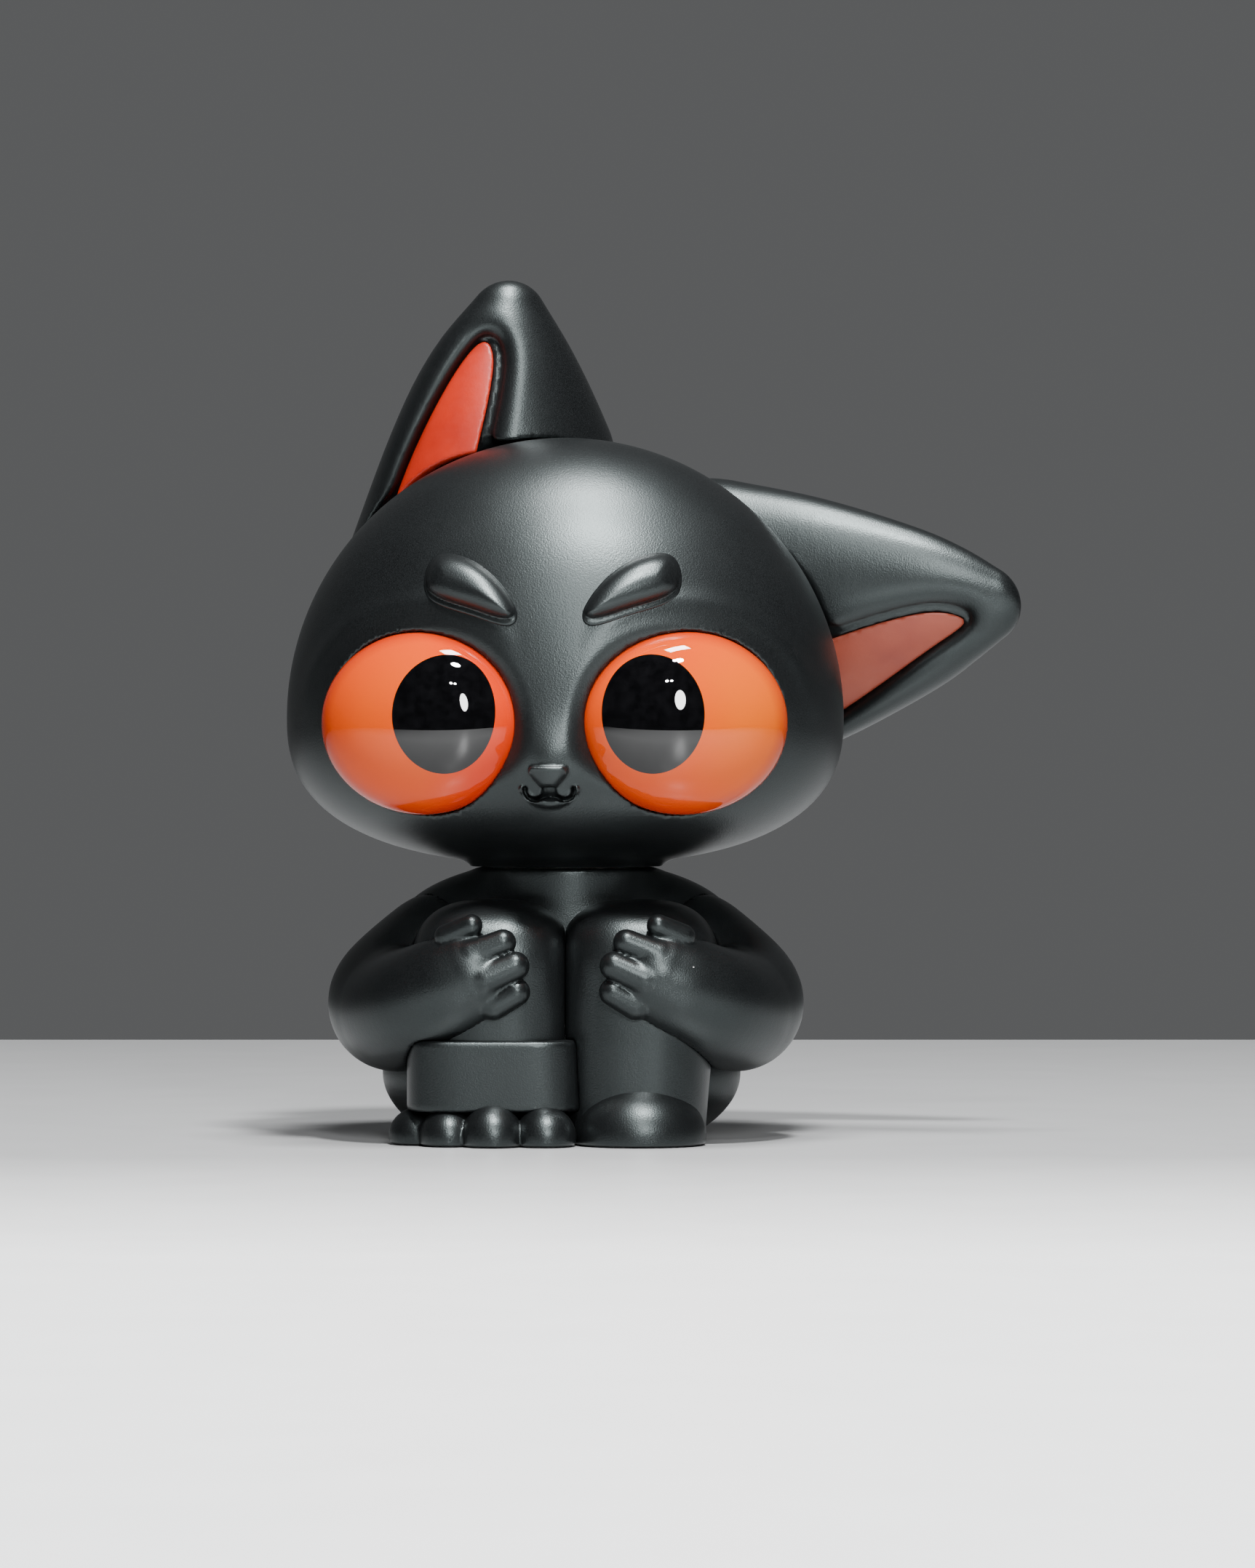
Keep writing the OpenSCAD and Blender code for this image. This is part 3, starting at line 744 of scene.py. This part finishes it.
def noise(nodes, links, scale, detail=2.0):
    """A noise texture over the object's own coordinates, which are metres."""
    place = nodes.new("ShaderNodeTexCoord")
    texture = nodes.new("ShaderNodeTexNoise")
    texture.inputs["Scale"].default_value = scale
    texture.inputs["Detail"].default_value = detail
    links.new(place.outputs["Object"], texture.inputs["Vector"])
    return texture.outputs["Fac"]


def ramp(nodes, links, source, stops):
    """A colour ramp with stops (place, colour)."""
    node = nodes.new("ShaderNodeValToRGB")
    for element, (at, colour) in zip([node.color_ramp.elements[0], node.color_ramp.elements[1]], stops):
        element.position, element.color = at, (*colour, 1)
    for at, colour in stops[2:]:
        node.color_ramp.elements.new(at).color = (*colour, 1)
    links.new(source, node.inputs["Fac"])
    return node.outputs["Color"]


def span(nodes, links, source, low, high):
    """Maps a value from 0..1 to low..high."""
    node = nodes.new("ShaderNodeMapRange")
    node.inputs["To Min"].default_value = low
    node.inputs["To Max"].default_value = high
    links.new(source, node.inputs["Value"])
    return node.outputs["Result"]


def bump(nodes, links, shader, source, strength, distance):
    node = nodes.new("ShaderNodeBump")
    node.inputs["Strength"].default_value = strength
    node.inputs["Distance"].default_value = distance
    links.new(source, node.inputs["Height"])
    links.new(node.outputs["Normal"], shader.inputs["Normal"])


def math_node(nodes, links, operation, first, second):
    """The result of an operation on a linked value and either a number or another linked value."""
    node = nodes.new("ShaderNodeMath")
    node.operation = operation
    links.new(first, node.inputs[0])
    if isinstance(second, float):
        node.inputs[1].default_value = second
    else:
        links.new(second, node.inputs[1])
    return node.outputs["Value"]


def vinyl_material(name, rough=0.35):
    """Satin sprayed black vinyl: fine speckle, slow changes of gloss and a little dust."""
    material, nodes, links, shader = new_material(name, (0.004, 0.004, 0.0045), rough)
    speck = noise(nodes, links, 5200, 1.0)
    cloud = noise(nodes, links, 90, 3.0)
    base = ramp(nodes, links, speck, [(0.3, (0.0015, 0.0016, 0.0018)), (0.75, (0.0065, 0.007, 0.0075))])
    place = nodes.new("ShaderNodeTexCoord")
    cells = nodes.new("ShaderNodeTexVoronoi")
    cells.inputs["Scale"].default_value = 260
    cells.inputs["Randomness"].default_value = 1.0
    links.new(place.outputs["Object"], cells.inputs["Vector"])
    pick = nodes.new("ShaderNodeSeparateColor")
    links.new(cells.outputs["Color"], pick.inputs["Color"])
    near = math_node(nodes, links, "LESS_THAN", cells.outputs["Distance"], 0.03)
    few = math_node(nodes, links, "GREATER_THAN", pick.outputs["Red"], 0.86)
    dust = nodes.new("ShaderNodeMix")
    dust.data_type = "RGBA"
    dust.inputs["B"].default_value = (0.35, 0.35, 0.34, 1)
    links.new(math_node(nodes, links, "MULTIPLY", near, few), dust.inputs["Factor"])
    links.new(base, dust.inputs["A"])
    base = dust.outputs["Result"]
    links.new(base, shader.inputs["Base Color"])
    links.new(span(nodes, links, cloud, rough - 0.04, rough + 0.05), shader.inputs["Roughness"])
    shader.inputs["Specular Tint"].default_value = (0.86, 1.0, 1.0, 1)
    bump(nodes, links, shader, noise(nodes, links, 4200, 2.0), 0.3, 0.0001)
    return material


def eye_material(name, side):
    """Orange under a clear gloss, with painted shade that makes it darker and redder towards the rim and painted
    light that makes its outer half yellower.
    """
    material, nodes, links, shader = new_material(name, (0.86, 0.17, 0.02), 0.35)
    mid = eye_world(side, np.array([[0.0, 0.0, 0.0]]))[0]
    place = nodes.new("ShaderNodeTexCoord")
    shift = nodes.new("ShaderNodeMapping")
    shift.vector_type = "POINT"
    half = (EYE_HALF[0], EYE_HALF[0], EYE_HALF[1])
    shift.inputs["Scale"].default_value = [1000 / h for h in half]
    shift.inputs["Location"].default_value = [-m / h for m, h in zip(mid, half)]
    links.new(place.outputs["Object"], shift.inputs["Vector"])
    split = nodes.new("ShaderNodeSeparateXYZ")
    links.new(shift.outputs["Vector"], split.inputs["Vector"])
    flat = nodes.new("ShaderNodeCombineXYZ")
    links.new(split.outputs["X"], flat.inputs["X"])
    links.new(split.outputs["Z"], flat.inputs["Z"])
    radius = nodes.new("ShaderNodeVectorMath")
    radius.operation = "LENGTH"
    links.new(flat.outputs["Vector"], radius.inputs[0])
    # Painted shade: the colour is darker and redder towards the dome's rim.
    rim = ramp(nodes, links, radius.outputs["Value"],
               [(0.55, (1, 1, 1)), (1.0, (0.72, 0.30, 0.25)), (0.86, (0.98, 0.82, 0.7))])
    # Painted light: a hue from red to yellow across the eye, yellower in its outer half.
    outer = span(nodes, links, split.outputs["X"], 0.5, 0.5 + 0.5 * side)
    painted_light_hue = ramp(nodes, links, outer, [(0.25, (0.5, 0.028, 0.0)), (0.95, (0.53, 0.1, 0.0))])
    painted_light_and_shade = nodes.new("ShaderNodeMix")
    painted_light_and_shade.data_type = "RGBA"
    painted_light_and_shade.blend_type = "MULTIPLY"
    painted_light_and_shade.inputs["Factor"].default_value = 1.0
    links.new(painted_light_hue, painted_light_and_shade.inputs["A"])
    links.new(rim, painted_light_and_shade.inputs["B"])
    links.new(painted_light_and_shade.outputs["Result"], shader.inputs["Base Color"])
    shader.inputs["Coat Weight"].default_value = 1.0
    shader.inputs["Coat Roughness"].default_value = 0.015
    shader.inputs["Coat IOR"].default_value = 1.38
    shader.inputs["Specular IOR Level"].default_value = 0.0
    links.new(span(nodes, links, noise(nodes, links, 300), 0.3, 0.4), shader.inputs["Roughness"])
    return material


def pupil_material():
    material, nodes, links, shader = new_material("pupil_gloss", (0.006, 0.006, 0.007), 0.3)
    fibre = noise(nodes, links, 700, 4.0)
    links.new(ramp(nodes, links, fibre, [(0.35, (0.001, 0.001, 0.0012)), (0.8, (0.003, 0.003, 0.0035))]),
              shader.inputs["Base Color"])
    links.new(span(nodes, links, fibre, 0.25, 0.35), shader.inputs["Roughness"])
    shader.inputs["Specular IOR Level"].default_value = 0.0
    shader.inputs["Coat Weight"].default_value = 1.0
    shader.inputs["Coat Roughness"].default_value = 0.012
    return material


def inlay_material(name, colour, dark):
    """Sprayed matt orange with faint streaks."""
    material, nodes, links, shader = new_material(name, colour, 0.42)
    cloud = noise(nodes, links, 140, 3.0)
    links.new(ramp(nodes, links, cloud, [(0.3, dark), (0.7, colour)]), shader.inputs["Base Color"])
    links.new(span(nodes, links, noise(nodes, links, 900), 0.38, 0.5), shader.inputs["Roughness"])
    bump(nodes, links, shader, noise(nodes, links, 2600, 2.0), 0.1, 0.0001)
    return material


def nylon_material():
    material, nodes, links, shader = new_material("nylon", (0.75, 0.74, 0.69), 0.45)
    cloud = noise(nodes, links, 400, 3.0)
    links.new(ramp(nodes, links, cloud, [(0.3, (0.68, 0.67, 0.62)), (0.7, (0.8, 0.79, 0.74))]),
              shader.inputs["Base Color"])
    shader.inputs["Subsurface Weight"].default_value = 0.1
    shader.inputs["Subsurface Scale"].default_value = 0.002
    bump(nodes, links, shader, noise(nodes, links, 1800, 2.0), 0.1, 0.0001)
    return material


# ------------------------------------------------------------------ pieces

def finish_piece(piece, body, slot, material, *nodes):
    piece.data.materials.append(material)
    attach(piece, body)
    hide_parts(*nodes)


def build_head(vinyl):
    fine = (((-6, 6, 0.24), None, (HEAD_Z - 13, HEAD_Z - 6.5, 0.24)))
    wide, low, high = 43.2, HEAD_Z - 23, HEAD_Z + 43.4
    finish_piece(cast("head_front_shell", lambda p: head_shell(p, True),
                      (-wide, -37, low), (wide, SEAM_Y + 0.5, high), 0.5, fine, HEAD_YAW),
                 "head", "vinyl", vinyl, "head_front")
    finish_piece(cast("head_back_shell", lambda p: head_shell(p, False),
                      (-wide, SEAM_Y - 0.5, low), (wide, 28, high), 0.6, yaw=HEAD_YAW),
                 "head", "vinyl", vinyl, "head_back")
    for name, ends in (("right", (-21, -3)), ("left", (3, 21))):
        piece = cast("brow_bean_" + name, brow_piece, (ends[0], -37, 74), (ends[1], -22, 91), 0.24,
                     yaw=HEAD_YAW)
        finish_piece(piece, "head", "vinyl", vinyl, "brow_" + name)
    for name, side in (("right", -1), ("left", 1)):
        finish_piece(eye_piece("eye_dome_" + name, side), "head", "eye_orange",
                     eye_material("eye_orange_" + name, side), "eye_" + name)


def build_pupils():
    material = pupil_material()
    for name, side in (("right", -1), ("left", 1)):
        finish_piece(pupil_piece("pupil_disc_" + name, side), "head", "pupil_black", material,
                     "pupil_" + name)


def build_ears(vinyl):
    boxes = {"right": ((-40, -4, 60), (17, 40, 134)), "left": ((-2, -4, 50), (72, 40, 106))}
    # The two inlays are one orange paint; the left one is painted darker and browner, as painted shade.
    inlay_colours_with_shade = {"right": ((0.36, 0.014, 0.001), (0.28, 0.009, 0.001)),
               "left": ((0.26, 0.045, 0.02), (0.2, 0.024, 0.01))}
    for name, ear in EARS.items():
        ear["smooth_patch"] = rounded(ear["patch"])
        low, high = boxes[name]
        finish_piece(cast("ear_cone_" + name, lambda p: ear_shell(p, ear), low, high, 0.5),
                     name + "_ear", "vinyl", vinyl, "ear_" + name)
        xs, zs = zip(*ear["patch"])
        finish_piece(cast("ear_patch_" + name, lambda p: ear_inlay(p, ear),
                          (min(xs) - 1, low[1], min(zs) - 1), (max(xs) + 1, high[1], max(zs) + 1), 0.4),
                     name + "_ear", "ear_orange", inlay_material("ear_orange_" + name, *inlay_colours_with_shade[name]),
                     "ear_inlay_" + name)


def build_body(vinyl):
    def part(name, node, field, low, high, step=0.5):
        finish_piece(cast(name, field, low, high, step), "body", "vinyl", vinyl, node)

    part("trunk", "torso", torso_piece, (-29, -14, 0), (29, 26, SEAT_Z), 0.6)
    for name, side in (("right", -1), ("left", 1)):
        ends = sorted((side * -1, side * 25))
        part("knee_leg_" + name, "leg_" + name, lambda p: leg_piece(p, side), (ends[0], -28, 0),
             (ends[1], -1, 38))
        ends = sorted((side * 4, side * 38))
        part("hugging_arm_" + name, "arm_" + name, lambda p: arm_piece(p, side), (ends[0], -33, 8),
             (ends[1], 15, 42), 0.4)
    part("cuff_band", "trouser_cuff", lambda p: smax(cuff_form(p), 0.06 - leg_form(p, -1), 0.2),
         (-26, -29, 4), (3, 0, 17), 0.4)
    part("paw_toes", "toed_paw", lambda p: smax(paw_form(p), 0.05 - foot_form(p), 0.3),
         (-28, -33, 0), (3, -1, 8), 0.36)
    part("round_foot", "smooth_foot", foot_form, (0, -32, 0), (23, 1, 9), 0.36)
    part("curled_tail", "tail", tail_piece, (-6, 14, 0), (15, 33, 24), 0.45)


def finish_inner():
    """The nylon pins, rings and clips inside keep their own shapes."""
    nylon = nylon_material()
    inner = [m["node"] for m in frame["record"]["subparts"] if m["material_slot"] == "nylon"]
    for node in inner:
        mesh = frame["nodes"][node].data
        mesh.materials.clear()
        mesh.materials.append(nylon)


# ------------------------------------------------------------------ stage, lights and camera

def stage_plane(name, low, high, colour, rough):
    mesh = bpy.data.meshes.new(name)
    z = -0.0001
    corners = [(low[0], low[1], z), (high[0], low[1], z), (high[0], high[1], z), (low[0], high[1], z)]
    mesh.from_pydata(corners, [], [(0, 1, 2, 3)])
    plane = bpy.data.objects.new(name, mesh)
    bpy.context.scene.collection.objects.link(plane)
    material, nodes, links, shader = new_material(name, colour, rough)
    links.new(span(nodes, links, noise(nodes, links, 60), rough - 0.03, rough + 0.03),
              shader.inputs["Roughness"])
    place = nodes.new("ShaderNodeTexCoord")
    split = nodes.new("ShaderNodeSeparateXYZ")
    links.new(place.outputs["Object"], split.inputs["Vector"])
    # Painted light: the floor is painted up to 2.4 times paler towards the front, as a pool of light.
    near = nodes.new("ShaderNodeMapRange")
    near.inputs["From Min"].default_value, near.inputs["From Max"].default_value = -0.05, -0.24
    links.new(split.outputs["Y"], near.inputs["Value"])
    painted_light_colour = [min(1.0, 2.4 * c) for c in colour]
    links.new(ramp(nodes, links, near.outputs["Result"], [(0.0, colour), (1.0, painted_light_colour)]),
              shader.inputs["Base Color"])
    mesh.materials.append(material)


def area_light(name, at, aim, size, power, shape="ELLIPSE"):
    data = bpy.data.lights.new(name, "AREA")
    data.shape = shape
    data.size, data.size_y = size
    data.energy = power
    light = bpy.data.objects.new(name, data)
    bpy.context.scene.collection.objects.link(light)
    light.location = at
    light.rotation_euler = (Vector(aim) - Vector(at)).to_track_quat("-Z", "Y").to_euler()


def build_stage():
    stage_plane("table", (-0.9, -0.56), (0.9, 0.36), (0.41, 0.415, 0.42), 0.3)
    face = (0.0, -0.02, 0.075)
    area_light("over", (0.05, -0.09, 0.8), face, (0.18, 0.1), 8.5, "RECTANGLE")
    area_light("key", (0.08, -0.36, 0.75), face, (0.1, 0.08), 12.5)
    area_light("spark_right", (0.0, -0.72, 0.62), face, (0.035, 0.035), 1.2)
    area_light("spark_left", (0.05, -0.72, 0.62), face, (0.03, 0.03), 1.0)
    area_light("strip", (0.15, -0.86, 0.37), face, (0.11, 0.28), 6.0)
    world = bpy.data.worlds.new("studio")
    bpy.context.scene.world = world
    world.use_nodes = True
    nodes, links = world.node_tree.nodes, world.node_tree.links
    way = nodes.new("ShaderNodeTexCoord")
    split = nodes.new("ShaderNodeSeparateXYZ")
    links.new(way.outputs["Generated"], split.inputs["Vector"])
    tone = ramp(nodes, links, span(nodes, links, split.outputs["Y"], 0.5, 1.0),
                [(0.5, (0.022, 0.0225, 0.023)), (0.85, (0.108, 0.11, 0.112))])
    links.new(tone, nodes["Background"].inputs["Color"])


def build_camera():
    data = bpy.data.cameras.new("camera")
    data.lens = 142.2
    data.sensor_width = 36
    data.clip_start = 0.05
    camera = bpy.data.objects.new("camera", data)
    bpy.context.scene.collection.objects.link(camera)
    camera.location = (0.00936, -0.95, 0.054)
    camera.rotation_euler = (math.radians(90), 0, 0)
    bpy.context.scene.camera = camera


vinyl = vinyl_material("vinyl_black")
build_head(vinyl)
build_pupils()
build_ears(vinyl)
build_body(vinyl)
finish_inner()
build_stage()
build_camera()
